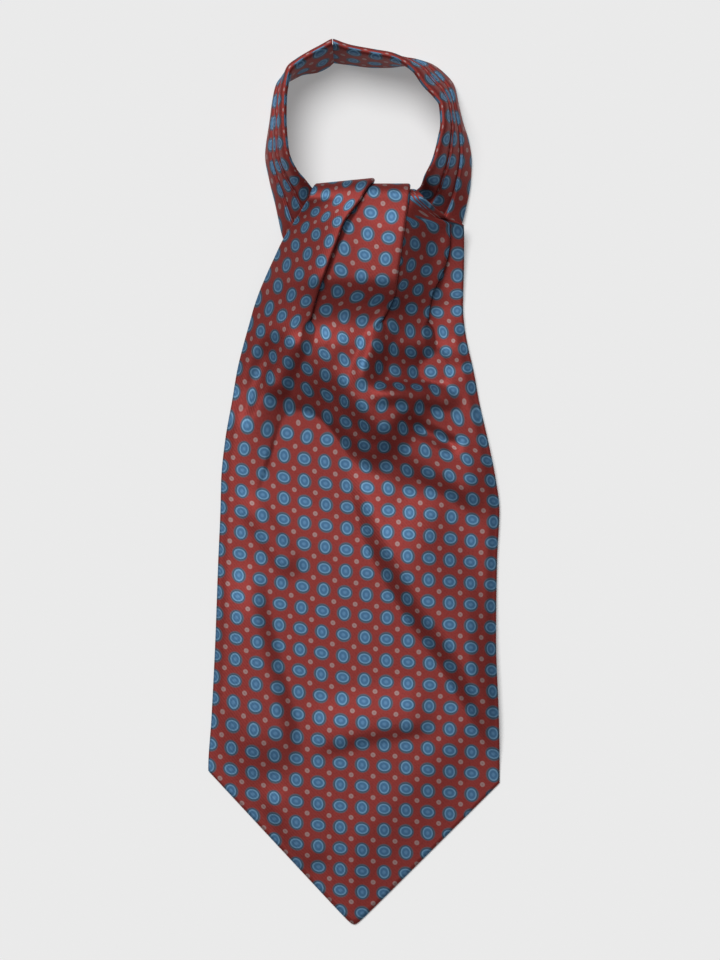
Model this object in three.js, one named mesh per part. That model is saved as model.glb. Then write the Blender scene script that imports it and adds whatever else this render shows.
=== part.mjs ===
import * as THREE from 'three';

// Silk cravat laid flat on a table: a pleated neckband stands on its edge as a
// ring, its two arms cross under the throat, and the front blade folds over the
// crossing in a box pleat and hangs down to a point over a shorter back blade.
// Millimetres. +X to the right, +Y toward the neck ring, +Z off the table.
const CENTRE = { x: 0.1, y: 2.4 };       // brings the middle of the whole to X 0, Y 0

// Front blade cloth.
const WALL = 1.0;                        // two silks on an interlining
const TURN = 0.75;                       // radius of a pleat's turned edge
const LAYER = 2 * TURN;                  // one cloth layer up in a pleat
const CLOTH_WIDTH = 155;                 // whole width of the cloth, laid open
const PLEAT_DEPTH = 8;                   // run of cloth under each throat pleat
const SIDE_PLEAT_DEPTH = 6;              // run of cloth under the pleat by the right edge
const SHORTEST_RUN = 2.1;                // a pleat's run just before it lets go
const OPEN = { fromY: 103, toY: 84 };    // the throat pleats open out between these
const STRAIGHTENS = 0.5;                 // share of the opening at which a pleat's run is shortest
const SINKS = 0.78;                      // share at which it is a ramp and starts to sink
const SIDE_PLEAT = { flatY: 144.5, fullY: 139.5 };

// Fold-over at the throat: the cloth rolls back under the crossing.
const ROLL_Y = 152.7;
const ROLL_RADIUS = 8.6;
const ROLL_AXIS_Z = 16.0;
const ROLL_STEPS = 7;

// Lower blade.
const REST_Z = 2.85;                     // cloth middle where it lies on the back blade
const FLOOR_Z = 1.0;                     // cloth middle where it lies on the table
const EDGE_DROP = 1.4;                   // how far a side edge bends down past the back blade
const EDGE_DROP_RUN = 6;
const LAID = { fromY: 100, toY: 74 };    // the cloth comes down off the crossing between these
const STEEP = { fromY: 107, highY: 101, lowY: 95, toY: 88, spread: 0.5 };
const SHOULDER = 26;                     // run from a side edge to the full height of the cloth
const SOFT_EDGE = 22;                    // folds are low within this far of an edge
const EDGE_FOLDS = 0.15;                 // share of a fold's height left at the edge itself
const CROWN_START = 2;                   // full height is reached this far past a pleat's edge
const POINT_NEARNESS = 0.7;              // distance to a slanting edge for one unit along Y
const PUFF_FADE = { from: -4, to: 20 };  // the cloth's puff dies away this near the point
const SETTLE_RUN = 14;                   // run past the back blade to reach the table
const CHEVRON_Y = -60;                   // rows turn from straight to pointed below this
const CORNER_Y = -200;                   // the outline keeps its width from here down
const POINT = { x: -0.3, y: -244.2, leftSlope: 1.077, rightSlope: 0.994, round: 1.5 };

// Back blade, hidden.
const BACK_INSET = 6.5;
const BACK_THICK = 2.0;
const BACK_TOP_Y = 84;
const BACK_POINT_Y = -205;
const BACK_CORNER_Y = -130;
const BACK_WIDTH_Y = -120;               // its width follows the front blade's at this row
const BACK_RIM = 0.6;                    // share of its thickness left at its rim

// Sections across the front blade, from the throat down. left, right: outline.
// pleatA, pleatB, pleatC: visible edge of each pleat. leftZ, crownZ, rightZ: height
// of the cloth's middle surface at the left edge, over the crossing, at the right.
const BLADE = {
  columns: ['y', 'left', 'right', 'pleatA', 'pleatB', 'pleatC', 'leftZ', 'crownZ', 'rightZ'],
  rows: [
    [152.7, -24.4, 37.9, 3.7, 29.2, 34.0, 24.6, 24.6, 24.6],
    [147.3, -28.0, 44.5, -0.4, 28.4, 40.5, 20.5, 24.8, 20.6],
    [143.2, -30.8, 50.6, -3.6, 27.7, 46.4, 17.2, 24.9, 17.9],
    [139.4, -33.6, 59.3, -6.0, 27.2, 51.6, 14.0, 25.0, 15.2],
    [131.2, -39.1, 59.6, -9.0, 26.0, 51.8, 8.8, 25.0, 12.4],
    [121.1, -44.1, 59.6, -12.9, 24.5, 50.3, 5.6, 24.8, 10.4],
    [110.2, -49.1, 59.4, -17.0, 22.9, 46.0, 4.4, 24.2, 9.2],
    [103.0, -52.1, 59.2, -19.7, 21.9, 42.6, 3.9, 21.0, 10.2],
    [95.0, -54.9, 59.1, -22.0, 20.5, 41.0, 3.5, 11.0, 11.0],
    [88.3, -56.8, 59.5, -23.5, 19.0, 40.0, 3.1, 8.2, 8.2],
    [74.6, -60.7, 61.6, -25.0, 17.0, 39.0, 2.85, 8.2, 2.85],
    [60.9, -64.0, 64.8, -25.0, 17.0, 39.0, 2.85, 8.8, 2.85],
    [44.4, -66.7, 67.8, -25.0, 17.0, 39.0, 2.85, 8.2, 2.85],
    [22.5, -70.6, 72.7, -25.0, 17.0, 39.0, 2.85, 6.4, 2.85],
    [0.5, -72.8, 77.1, -25.0, 17.0, 39.0, 2.85, 5.0, 2.85],
    [-16.0, -73.2, 79.1, -25.0, 17.0, 39.0, 2.85, 5.0, 2.85],
    [-43.4, -74.4, 77.8, -25.0, 17.0, 39.0, 2.85, 5.0, 2.85],
    [-87.3, -76.0, 77.2, -25.0, 17.0, 39.0, 2.85, 5.0, 2.85],
    [-131.2, -78.2, 78.7, -25.0, 17.0, 39.0, 2.85, 4.8, 2.85],
    [-158.0, -79.9, 79.2, -25.0, 17.0, 39.0, 2.85, 4.6, 2.85],
    [-245.0, -79.9, 79.3, -25.0, 17.0, 39.0, 2.85, 4.2, 2.85],
  ],
};
// The same outline as it goes round the roll: angle in degrees from the top.
const ROLL = {
  columns: ['angle', 'left', 'right', 'pleatA', 'pleatB', 'pleatC'],
  rows: [
    [0, -24.4, 37.9, 3.7, 29.2, 34.0],
    [90, -20.2, 32.4, 10.6, 30.0, 29.2],
    [180, -17.0, 32.0, 6.0, 24.6, 28.0],
  ],
};

// Folds. rise: height of the ridge, less than nought for a trough. left, right: how
// far it spreads on each side of its run, seen along the run.
const FOLDS = [
  { rise: 11, left: 30, right: 8, run: [[-8, 66], [-2, 52], [6, 40], [28, 18.5], [59, -1], [82, -17]] },
  { rise: 5, left: 9, right: 8, run: [[21, 104], [15, 82], [6, 62], [1, 48]] },
  { rise: 3, left: 9, right: 8, run: [[-32, 76], [0, 81], [32, 78]] },
  { rise: 5.5, left: 10, right: 9, run: [[-22, 86], [-32, 72], [-38, 51], [-48, 30], [-58, 14]] },
  { rise: -3, left: 9, right: 9, run: [[-43, 80], [-53, 62], [-62, 40], [-66, 26]] },
  { rise: -4.5, left: 10, right: 9, run: [[12, 64], [20, 58], [32, 56], [44, 58]] },
  { rise: 3, left: 8, right: 7, run: [[4, 47], [28, 47.5], [60, 43]] },
  { rise: -3, left: 6, right: 7, run: [[22, 36], [39, 27], [60, 17]] },
  {
    rise: 7.5,
    left: 26,
    right: 7,
    run: [[-4, 4], [10, -21], [22, -51], [41, -87], [63, -120], [80, -150]],
  },
  { rise: -3, left: 9, right: 9, run: [[-60, -52], [-57, -65], [-51, -93], [-44, -123], [-37, -158]] },
  { rise: 4.5, left: 24, right: 7, run: [[-28, -146], [8, -136], [33, -132], [46, -130]] },
  { rise: 2, left: 18, right: 9, run: [[-52, -166], [-44, -178], [-30, -202], [-22, -216]] },
  { rise: 1.5, left: 10, right: 10, run: [[-62, -4], [-55, -16], [-38, -43], [-32, -54]] },
];
// The same for the pleated part: a raised edge and the hollows beside two pleats.
const UPPER_FOLDS = [
  { rise: 3, left: 10, right: 3, run: [[6, 156], [-3, 143], [-11, 127], [-18, 108], [-21, 98]] },
  { rise: -4, left: 2, right: 13, run: [[30, 142], [27, 124], [24, 106], [22, 94]] },
  { rise: -2.5, left: 2, right: 8, run: [[52, 138], [50, 124], [46, 110], [43, 100]] },
];
const UPPER_END = { fromY: 84, toY: 92 };
const FOLD_END = 0.16;                   // share of a run over which a fold dies away
const HOLLOW = { x: -17, y: 45, flatten: 0.8, radius: 19, depth: 6.5 };

// Neckband arms, from the knot to the centre back and from there to the knot:
// middle line of the upper edge, then of the lower edge.
const BAND = {
  columns: ['topX', 'topY', 'topZ', 'lowX', 'lowY', 'lowZ'],
  left: [
    [-17.1, 153.3, 14.4, -34.9, 128.5, 2.7],
    [-21.5, 157.2, 17.2, -38.7, 132.6, 2.4],
    [-27.1, 163.0, 23.5, -42.9, 151.5, 0.5],
    [-31.9, 168.1, 28.0, -46.1, 165.7, 0.5],
    [-36.1, 177.5, 31.0, -48.1, 178.8, 0.5],
    [-37.8, 195.9, 32.5, -45.3, 197.7, 0.5],
    [-37.7, 205.8, 32.8, -43.7, 208.4, 0.5],
    [-36.8, 213.8, 33.0, -41.3, 217.3, 0.5],
    [-34.9, 221.5, 33.0, -34.6, 221.5, 0.5],
    [-30.2, 225.9, 32.5, -28.5, 224.2, 0.5],
    [-23.9, 230.1, 32.0, -21.2, 225.2, 0.5],
    [-17.6, 233.5, 32.0, -15.6, 227.6, 0.5],
    [-12.0, 236.6, 32.0, -12.0, 230.6, 0.5],
  ],
  right: [
    [-11.6, 236.6, 32.0, -11.6, 230.6, 0.5],
    [-3.4, 233.5, 32.0, -4.2, 229.8, 0.5],
    [10.8, 230.6, 32.5, 10.4, 228.2, 0.5],
    [20.0, 228.7, 33.0, 19.7, 228.4, 0.5],
    [27.0, 225.1, 33.0, 30.7, 230.0, 0.5],
    [32.1, 220.9, 32.5, 40.9, 228.3, 0.5],
    [37.4, 213.3, 32.0, 49.2, 222.9, 0.5],
    [43.4, 207.0, 32.0, 54.2, 216.2, 0.5],
    [46.6, 202.2, 32.0, 56.2, 206.2, 0.5],
    [47.2, 193.1, 32.0, 59.1, 195.2, 0.5],
    [45.4, 183.5, 31.0, 62.0, 187.0, 0.5],
    [42.0, 171.9, 29.5, 63.8, 175.0, 0.5],
    [38.2, 164.8, 25.0, 63.4, 163.5, 0.5],
    [36.0, 160.2, 14.5, 61.4, 151.5, 1.6],
    [31.3, 157.2, 8.8, 58.7, 140.5, 2.3],
    [27.0, 153.4, 6.4, 56.1, 135.9, 2.7],
  ],
};
const BAND_STATIONS_PER_SPAN = 2;
const BAND_WIDTH = 34;
// Outline of the band's cross section: share of its width from the lower edge, and
// height out of its middle plane. Three pleats overlap on the outer side.
const BAND_RING = [
  [0.0, 0.7], [0.06, 1.8], [0.3, 2.7], [0.34, 1.4], [0.62, 2.7], [0.66, 1.4], [0.93, 2.4], [1.0, 0.8],
  [1.0, -0.8], [0.93, -2.0], [0.62, -2.5], [0.34, -2.5], [0.06, -1.9], [0.0, -0.7],
];

// Crossing of the arms under the throat, hidden: plan and height limits.
const WRAP = {
  columns: ['y', 'left', 'right', 'top'],
  rows: [
    [84.3, -44.0, 33.0, 2.6],
    [88.0, -46.5, 32.0, 6.0],
    [95.0, -47.0, 32.0, 11.5],
    [104.0, -45.0, 34.5, 30.0],
    [118.0, -40.0, 40.5, 30.0],
    [128.0, -34.2, 43.2, 30.0],
    [134.0, -30.3, 43.8, 30.0],
    [142.0, -24.6, 42.6, 30.0],
    [150.0, -18.6, 29.8, 30.0],
    [153.0, -14.6, 23.0, 30.0],
    [159.6, -8.0, 17.0, 30.0],
  ],
};
const WRAP_COLUMNS = 16;
const WRAP_ROWS = 28;
const WRAP_CLEAR = 0.6;
const WRAP_REACH = 2.0;                  // the crossing stays under all cloth this near
const WRAP_MARGIN = 6;                   // and keeps this far from the side of a lower fold
const WRAP_NOSE_Y = 150.8;
const WRAP_SIDE_Z = 1.6;
const WRAP_SIDE = { start: 0.25, rise: 2.6 };  // how fast its sides round up to full height
const WRAP_LEAST = 0.2;                  // square of its least half thickness in the roll

const SILK_ROUGHNESS = 0.5;
const COLOUR = { silk: 0x8e2f33, silkShade: 0x7d292e, backing: 0x6b2428 };

function clamp01(t) {
  return Math.min(1, Math.max(0, t));
}

function mix(a, b, t) {
  return a + (b - a) * t;
}

function ease(low, high, value) {
  const t = clamp01((value - low) / (high - low));
  return t * t * (3 - 2 * t);
}

// Smooth curve through one column of a table that never swings past its points.
function curveThrough(points) {
  const sorted = [...points].sort((a, b) => a[0] - b[0]);
  const xs = sorted.map((p) => p[0]);
  const ys = sorted.map((p) => p[1]);
  const last = xs.length - 1;
  const rates = ys.slice(1).map((y, i) => (y - ys[i]) / (xs[i + 1] - xs[i]));
  const slopes = ys.map((_, i) => {
    if (i === 0) return rates[0];
    if (i === last) return rates[last - 1];
    const before = rates[i - 1];
    const after = rates[i];
    return before * after <= 0 ? 0 : (2 * before * after) / (before + after);
  });
  return (at) => {
    const x = Math.min(xs[last], Math.max(xs[0], at));
    let i = 0;
    while (i < last - 1 && x > xs[i + 1]) i += 1;
    const span = xs[i + 1] - xs[i];
    const t = (x - xs[i]) / span;
    const back = 1 - t;
    return ys[i] * (1 + 2 * t) * back * back + slopes[i] * span * t * back * back
      + ys[i + 1] * (3 - 2 * t) * t * t - slopes[i + 1] * span * t * t * back;
  };
}

function tableCurves(table) {
  const curves = {};
  table.columns.slice(1).forEach((name, i) => {
    curves[name] = curveThrough(table.rows.map((row) => [row[0], row[i + 1]]));
  });
  return curves;
}

const blade = tableCurves(BLADE);
const roll = tableCurves(ROLL);

// Lower outline of the front blade: two straight edges that meet in the point.
function pointedEdge(x) {
  const away = x - POINT.x;
  const slope = away < 0 ? POINT.leftSlope : POINT.rightSlope;
  return POINT.y + slope * (Math.hypot(away, POINT.round) - POINT.round * 0.4);
}

function backEdge(x) {
  const half = (blade.right(BACK_WIDTH_Y) - blade.left(BACK_WIDTH_Y)) / 2 - BACK_INSET;
  return mix(BACK_POINT_Y, BACK_CORNER_Y, clamp01(Math.abs(x - POINT.x) / half));
}

// Height that a list of folds adds at a place.
function foldHeight(x, y, folds) {
  let total = 0;
  for (const fold of folds) {
    let whole = 0;
    const lengths = fold.run.slice(1).map((p, i) => {
      const length = Math.hypot(p[0] - fold.run[i][0], p[1] - fold.run[i][1]);
      whole += length;
      return length;
    });
    let nearest = Infinity;
    let side = 0;
    let along = 0;
    let start = 0;
    lengths.forEach((length, i) => {
      const [ax, ay] = fold.run[i];
      const [bx, by] = fold.run[i + 1];
      const dx = (bx - ax) / length;
      const dy = (by - ay) / length;
      const reach = Math.min(length, Math.max(0, (x - ax) * dx + (y - ay) * dy));
      const away = Math.hypot(x - ax - reach * dx, y - ay - reach * dy);
      if (away < nearest) {
        nearest = away;
        side = dx * (y - ay) - dy * (x - ax);
        along = (start + reach) / whole;
      }
      start += length;
    });
    const spread = side > 0 ? fold.left : fold.right;
    const u = Math.min(1, nearest / spread);
    const ends = ease(0, FOLD_END, along) * ease(0, FOLD_END, 1 - along);
    total += fold.rise * (1 - u * u) ** 2 * ends;
  }
  return total;
}

// Depth of the hollow beside the start of the longest fold.
function hollowDepth(x, y) {
  const away = Math.hypot(x - HOLLOW.x, (y - HOLLOW.y) * HOLLOW.flatten);
  const h = Math.min(1, away / HOLLOW.radius);
  return HOLLOW.depth * (1 - h * h) ** 2;
}

// How far the throat pleats have let go at a row: 0 folded, 1 laid open.
function openness(y) {
  return 1 - clamp01((y - OPEN.toY) / (OPEN.fromY - OPEN.toY));
}

// The layers stand further apart where the cloth drops steeply off the crossing.
function layerSpread(y) {
  return 1 + STEEP.spread * ease(STEEP.toY, STEEP.lowY, y) * (1 - ease(STEEP.highY, STEEP.fromY, y));
}

// Middle surface of the front blade, before the pleats' layers are added.
function bladeHeight(x, y) {
  const left = blade.left(y);
  const right = blade.right(y);
  const open = openness(y);
  const crownLeft = mix(blade.pleatA(y) + CROWN_START, left + SHOULDER, ease(0, 1, open));
  const crownRight = mix(blade.pleatB(y) + CROWN_START, right - SHOULDER, ease(0, 1, open));
  const crown = blade.crownZ(y);
  const fromLeft = Math.sin((Math.PI / 2) * clamp01((x - left) / (crownLeft - left)));
  const fromRight = Math.sin((Math.PI / 2) * clamp01((right - x) / (right - crownRight)));
  const leftRise = (crown - blade.leftZ(y)) * fromLeft;
  const rightRise = (crown - blade.rightZ(y)) * fromRight;
  const onLeft = x < (crownLeft + crownRight) / 2;
  const base = onLeft ? blade.leftZ(y) + leftRise : blade.rightZ(y) + rightRise;
  const lower = ease(LAID.fromY, LAID.toY, y);
  const fromEdge = Math.min(x - left, right - x);
  const fromPoint = (y - pointedEdge(x)) * POINT_NEARNESS;
  const inner = ease(0, SOFT_EDGE, Math.min(fromEdge, fromPoint));
  const drop = lower * EDGE_DROP * (1 - ease(0, EDGE_DROP_RUN, fromEdge));
  const pastBack = ease(0, SETTLE_RUN, backEdge(x) - y);
  const rest = mix(REST_Z, FLOOR_Z, pastBack);
  const puff = (base - REST_Z) * mix(1, ease(PUFF_FADE.from, PUFF_FADE.to, fromPoint), lower);
  const relief = foldHeight(x, y, FOLDS) - hollowDepth(x, y);
  const folds = lower * relief * mix(EDGE_FOLDS, 1, inner);
  const low = rest - drop * (1 - pastBack);
  const upper = foldHeight(x, y, UPPER_FOLDS) * ease(UPPER_END.fromY, UPPER_END.toY, y);
  return mix(base, Math.max(low + puff + folds, low), lower) + upper;
}

// Across-positions and layer heights of one pleat's six points. Up to half open its
// run shortens, then it turns into a ramp, and last the ramp sinks to nothing.
function pleatPoints(edge, openAt, depth, open) {
  const run = mix(depth, SHORTEST_RUN, clamp01(open / STRAIGHTENS));
  const straighten = ease(STRAIGHTENS, SINKS, open);
  const sink = 1 - ease(SINKS, 1, open);
  const shape = [
    [-TURN, 2 * LAYER], [0, LAYER + TURN], [-TURN, LAYER],
    [TURN - run, LAYER], [-run, TURN], [TURN - run, 0],
  ];
  const middleOpen = (openAt[0] + openAt[5]) / 2;
  const middle = mix(edge, middleOpen, ease(0, 1, open));
  return shape.map(([x, z], i) => ({
    x: middle + mix(x, openAt[i] - middleOpen, straighten),
    layer: mix(z, 2 * LAYER * (1 - i / 5), straighten) * sink,
  }));
}

// Places across the opened cloth: each panel's inner columns and each pleat's six.
const PLEAT_CLOTH = [
  [39.2, 40, 40.8, 47.2, 48, 48.8],
  [88.7, 89.5, 90.3, 96.7, 97.5, 98.3],
  [126, 126.8, 127.6, 131.9, 132.7, 133.5],
];
const PANEL_COLUMNS = [6, 6, 4, 3];

// Positions across one row, left to right, as {x, layer}.
function rowAcross(section, open, sideOpen, sideOpenAt) {
  const across = (cloth) => mix(section.left, section.right, cloth / CLOTH_WIDTH);
  const openAt = PLEAT_CLOTH.map((pleat) => pleat.map(across));
  const side = sideOpenAt || openAt[2];
  const pleats = [
    pleatPoints(section.pleatA, openAt[0], PLEAT_DEPTH, open),
    pleatPoints(section.pleatB, openAt[1], PLEAT_DEPTH, open),
    pleatPoints(section.pleatC, side, SIDE_PLEAT_DEPTH, sideOpen),
  ];
  const step = 2 * LAYER * (1 - ease(SINKS, 1, open));
  const sideStep = 2 * LAYER * (1 - ease(SINKS, 1, sideOpen));
  pleats[1].forEach((p) => {
    p.layer -= step;
  });
  pleats[2].forEach((p) => {
    p.layer -= step + sideStep;
  });
  const row = [];
  const panel = (from, to, count, withStart, withEnd) => {
    for (let i = 1; i <= count; i += 1) {
      const t = withStart ? (i - 1) / count : i / (count + (withEnd ? 0 : 1));
      row.push({ x: mix(from.x, to.x, t), layer: mix(from.layer, to.layer, t) });
    }
  };
  const sideLayer = pleats[2][5].layer;
  panel({ x: section.left, layer: 0 }, pleats[0][0], PANEL_COLUMNS[0], true, false);
  row.push(...pleats[0]);
  panel(pleats[0][5], pleats[1][0], PANEL_COLUMNS[1], false, false);
  row.push(...pleats[1]);
  panel(pleats[1][5], pleats[2][0], PANEL_COLUMNS[2], false, false);
  row.push(...pleats[2]);
  panel(pleats[2][5], { x: section.right, layer: sideLayer }, PANEL_COLUMNS[3], false, true);
  return row;
}

function sectionAt(curves, at) {
  const section = {};
  for (const name of ['left', 'right', 'pleatA', 'pleatB', 'pleatC']) {
    section[name] = curves[name](at);
  }
  return section;
}

// The pleat by the right edge is open above its start: its six points lie flat there.
function flatSidePleat(section) {
  return [-3, -2, -1, 0, 1, 2].map((step) => section.pleatC + step);
}

// Straight rows down the blade: from, to, number of rows.
const ROW_SPANS = [
  [152.7, 145.5, 3],
  [145.5, 138, 5],
  [138, 103, 9],
  [103, 84, 7],
  [84, -20, 15],
  [-20, -60, 4],
];
const POINTED_ROWS = 12;

// Rows of the front blade's middle surface from the end of the roll to the point.
function bladeGrid() {
  const grid = [];
  for (let i = ROLL_STEPS; i >= 1; i -= 1) {
    const degrees = (180 * i) / ROLL_STEPS;
    const angle = THREE.MathUtils.degToRad(degrees);
    const section = sectionAt(roll, degrees);
    grid.push(rowAcross(section, 0, 1, flatSidePleat(section)).map(({ x, layer }) => {
      const radius = ROLL_RADIUS + layer;
      const y = ROLL_Y + radius * Math.sin(angle);
      return new THREE.Vector3(x, y, ROLL_AXIS_Z + radius * Math.cos(angle));
    }));
  }
  const straightRow = (y) => {
    const section = sectionAt(blade, y);
    const open = openness(y);
    const starting = ease(SIDE_PLEAT.fullY, SIDE_PLEAT.flatY, y);
    const flat = starting > 0 ? flatSidePleat(section) : null;
    return rowAcross(section, open, Math.max(open, starting), flat)
      .map(({ x, layer }) => new THREE.Vector3(x, y, bladeHeight(x, y) + layer * layerSpread(y)));
  };
  for (const [from, to, count] of ROW_SPANS) {
    for (let i = 0; i < count; i += 1) grid.push(straightRow(mix(from, to, i / count)));
  }
  const section = sectionAt(blade, CHEVRON_Y);
  const shares = rowAcross(section, 1, 1, null)
    .map(({ x }) => (x - section.left) / (section.right - section.left));
  for (let i = 0; i <= POINTED_ROWS; i += 1) {
    grid.push(shares.map((share) => {
      const bottom = pointedEdge(mix(blade.left(CORNER_Y), blade.right(CORNER_Y), share));
      const y = mix(CHEVRON_Y, bottom, i / POINTED_ROWS);
      const x = mix(blade.left(y), blade.right(y), share);
      return new THREE.Vector3(x, y, bladeHeight(x, y));
    }));
  }
  return grid;
}

function meshFrom(name, positions, indices, colour) {
  const geometry = new THREE.BufferGeometry();
  const flat = positions.flatMap((p) => [p.x + CENTRE.x, p.y + CENTRE.y, p.z]);
  let volume = 0;
  for (let i = 0; i < indices.length; i += 3) {
    const [a, b, c] = [indices[i], indices[i + 1], indices[i + 2]].map((k) => positions[k]);
    volume += a.dot(new THREE.Vector3().crossVectors(b, c));
  }
  if (volume < 0) {
    for (let i = 0; i < indices.length; i += 3) {
      [indices[i], indices[i + 1]] = [indices[i + 1], indices[i]];
    }
  }
  geometry.setAttribute('position', new THREE.Float32BufferAttribute(flat, 3));
  geometry.setIndex(indices);
  geometry.computeVertexNormals();
  const material = new THREE.MeshStandardMaterial({ color: colour, roughness: SILK_ROUGHNESS, metalness: 0 });
  const mesh = new THREE.Mesh(geometry, material);
  mesh.name = name;
  return mesh;
}

// Closes two grids of the same size, one over the other, into one solid.
function closeGrids(name, upper, lower, colour) {
  const rows = upper.length;
  const columns = upper[0].length;
  const positions = [...upper.flat(), ...lower.flat()];
  const indices = [];
  const at = (layer, r, c) => layer * rows * columns + r * columns + c;
  const quad = (a, b, c, d) => indices.push(a, b, c, a, c, d);
  for (let r = 0; r + 1 < rows; r += 1) {
    for (let c = 0; c + 1 < columns; c += 1) {
      quad(at(0, r, c), at(0, r + 1, c), at(0, r + 1, c + 1), at(0, r, c + 1));
      quad(at(1, r, c), at(1, r, c + 1), at(1, r + 1, c + 1), at(1, r + 1, c));
    }
  }
  for (let c = 0; c + 1 < columns; c += 1) {
    quad(at(0, 0, c), at(0, 0, c + 1), at(1, 0, c + 1), at(1, 0, c));
    quad(at(0, rows - 1, c + 1), at(0, rows - 1, c), at(1, rows - 1, c), at(1, rows - 1, c + 1));
  }
  for (let r = 0; r + 1 < rows; r += 1) {
    quad(at(0, r + 1, 0), at(0, r, 0), at(1, r, 0), at(1, r + 1, 0));
    const end = columns - 1;
    quad(at(0, r, end), at(0, r + 1, end), at(1, r + 1, end), at(1, r, end));
  }
  return meshFrom(name, positions, indices, colour);
}

function unitSum(before, at, after) {
  const sum = new THREE.Vector3();
  if (before) sum.add(new THREE.Vector3().subVectors(at, before).normalize());
  if (after) sum.add(new THREE.Vector3().subVectors(after, at).normalize());
  return sum.normalize();
}

// Gives a middle surface its wall, half to each side.
function wallFromGrid(name, grid, wall, colour) {
  const normals = grid.map((row, r) => row.map((p, c) => {
    const along = unitSum(grid[r - 1]?.[c], p, grid[r + 1]?.[c]);
    const across = unitSum(row[c - 1], p, row[c + 1]);
    return new THREE.Vector3().crossVectors(across, along).normalize();
  }));
  const offset = (distance) => grid.map((row, r) => row.map((p, c) => {
    const moved = p.clone().addScaledVector(normals[r][c], distance);
    moved.z = Math.max(moved.z, 0);
    return moved;
  }));
  return closeGrids(name, offset(wall / 2), offset(-wall / 2), colour);
}

// Faces that close the band's end, each counterclockwise on its outline.
function capFaces() {
  const outline = BAND_RING.map(([share, height]) => new THREE.Vector2(share * BAND_WIDTH, height));
  return THREE.ShapeUtils.triangulateShape(outline, []).map(([a, b, c]) => {
    const turn = outline[b].clone().sub(outline[a]).cross(outline[c].clone().sub(outline[a]));
    return turn < 0 ? [a, c, b] : [a, b, c];
  });
}

// One arm of the neckband: rings across the pleated band, joined along its run. The
// ring at the centre back is square to X, so the two arms meet in a flat seam.
function bandArm(name, rows) {
  const curves = BAND.columns.map((_, i) => curveThrough(rows.map((row, r) => [r, row[i]])));
  const count = (rows.length - 1) * BAND_STATIONS_PER_SPAN;
  const stations = [];
  for (let i = 0; i <= count; i += 1) {
    const [tx, ty, tz, lx, ly, lz] = curves.map((curve) => curve(i / BAND_STATIONS_PER_SPAN));
    stations.push({ top: new THREE.Vector3(tx, ty, tz), low: new THREE.Vector3(lx, ly, lz) });
  }
  const middles = stations.map(({ top, low }) => top.clone().add(low).multiplyScalar(0.5));
  const seamAt = rows[0][1] > rows[rows.length - 1][1] ? 0 : count;
  const positions = stations.flatMap(({ top, low }, i) => {
    const along = i === seamAt
      ? new THREE.Vector3(1, 0, 0)
      : unitSum(middles[i - 1], middles[i], middles[i + 1]);
    const up = top.clone().sub(low);
    const out = new THREE.Vector3().crossVectors(up, along).normalize();
    return BAND_RING.map(([share, height]) => {
      const p = low.clone().addScaledVector(up, share).addScaledVector(out, height);
      p.z = Math.max(p.z, 0);
      return p;
    });
  });
  const size = BAND_RING.length;
  const indices = [];
  for (let i = 0; i < count; i += 1) {
    for (let k = 0; k < size; k += 1) {
      const a = i * size + k;
      const b = i * size + ((k + 1) % size);
      indices.push(a, b, b + size, a, b + size, a + size);
    }
  }
  const far = count * size;
  for (const [a, b, c] of capFaces()) indices.push(a, b, c, far + a, far + c, far + b);
  return meshFrom(name, positions, indices, COLOUR.silkShade);
}

// Underside of the blade's lowest layer: right of the middle pleat the cloth is one
// fold lower.
function lowerFold(x, y) {
  const folded = layerSpread(y) * (1 - ease(SINKS, 1, openness(y)));
  return x > blade.pleatB(y) - PLEAT_DEPTH - WRAP_MARGIN ? 2 * LAYER * folded : 0;
}

// Lowest cloth within reach of a place.
function bladeUnderside(x, y) {
  const steps = [-WRAP_REACH, 0, WRAP_REACH];
  const near = steps.flatMap((dx) => steps.map((dy) => {
    const py = Math.min(y + dy, ROLL_Y);
    return bladeHeight(x + dx, py) - lowerFold(x + dx, py);
  }));
  return Math.min(...near) - WALL / 2;
}

// One rounded solid for the layers that cross under the throat.
function crossingWrap() {
  const curves = tableCurves(WRAP);
  const upper = [];
  const lower = [];
  const first = WRAP.rows[0][0];
  const last = WRAP.rows[WRAP.rows.length - 1][0];
  for (let r = 0; r <= WRAP_ROWS; r += 1) {
    const y = mix(first, last, r / WRAP_ROWS);
    const inRoll = Math.max(0, y - ROLL_Y);
    const upperRow = [];
    const lowerRow = [];
    for (let c = 0; c <= WRAP_COLUMNS; c += 1) {
      const share = c / WRAP_COLUMNS;
      const x = mix(curves.left(y), curves.right(y), 0.5 - 0.5 * Math.cos(Math.PI * share));
      const noseRadius = ROLL_RADIUS - lowerFold(x, y) - WALL / 2 - WRAP_CLEAR;
      const swell = Math.sqrt(Math.max(WRAP_LEAST, noseRadius ** 2 - inRoll ** 2));
      const floor = y > WRAP_NOSE_Y ? ROLL_AXIS_Z - swell : 0;
      const ceiling = y > ROLL_Y ? ROLL_AXIS_Z + swell : bladeUnderside(x, y) - WRAP_CLEAR;
      const side = Math.min(1, WRAP_SIDE.start + WRAP_SIDE.rise * Math.sin(Math.PI * share));
      const middle = y > WRAP_NOSE_Y ? ROLL_AXIS_Z : 0;
      const low = Math.min(floor, ROLL_AXIS_Z);
      const top = Math.max(low + WRAP_SIDE_Z, Math.min(ceiling, curves.top(y)));
      upperRow.push(new THREE.Vector3(x, y, mix(Math.max(middle, low) + WRAP_SIDE_Z, top, side)));
      const under = y > WRAP_NOSE_Y ? mix(middle - WRAP_SIDE_Z, floor, side) : 0;
      lowerRow.push(new THREE.Vector3(x, y, under));
    }
    upper.push(upperRow);
    lower.push(lowerRow);
  }
  return closeGrids('crossing_wrap', upper, lower, COLOUR.backing);
}

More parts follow.
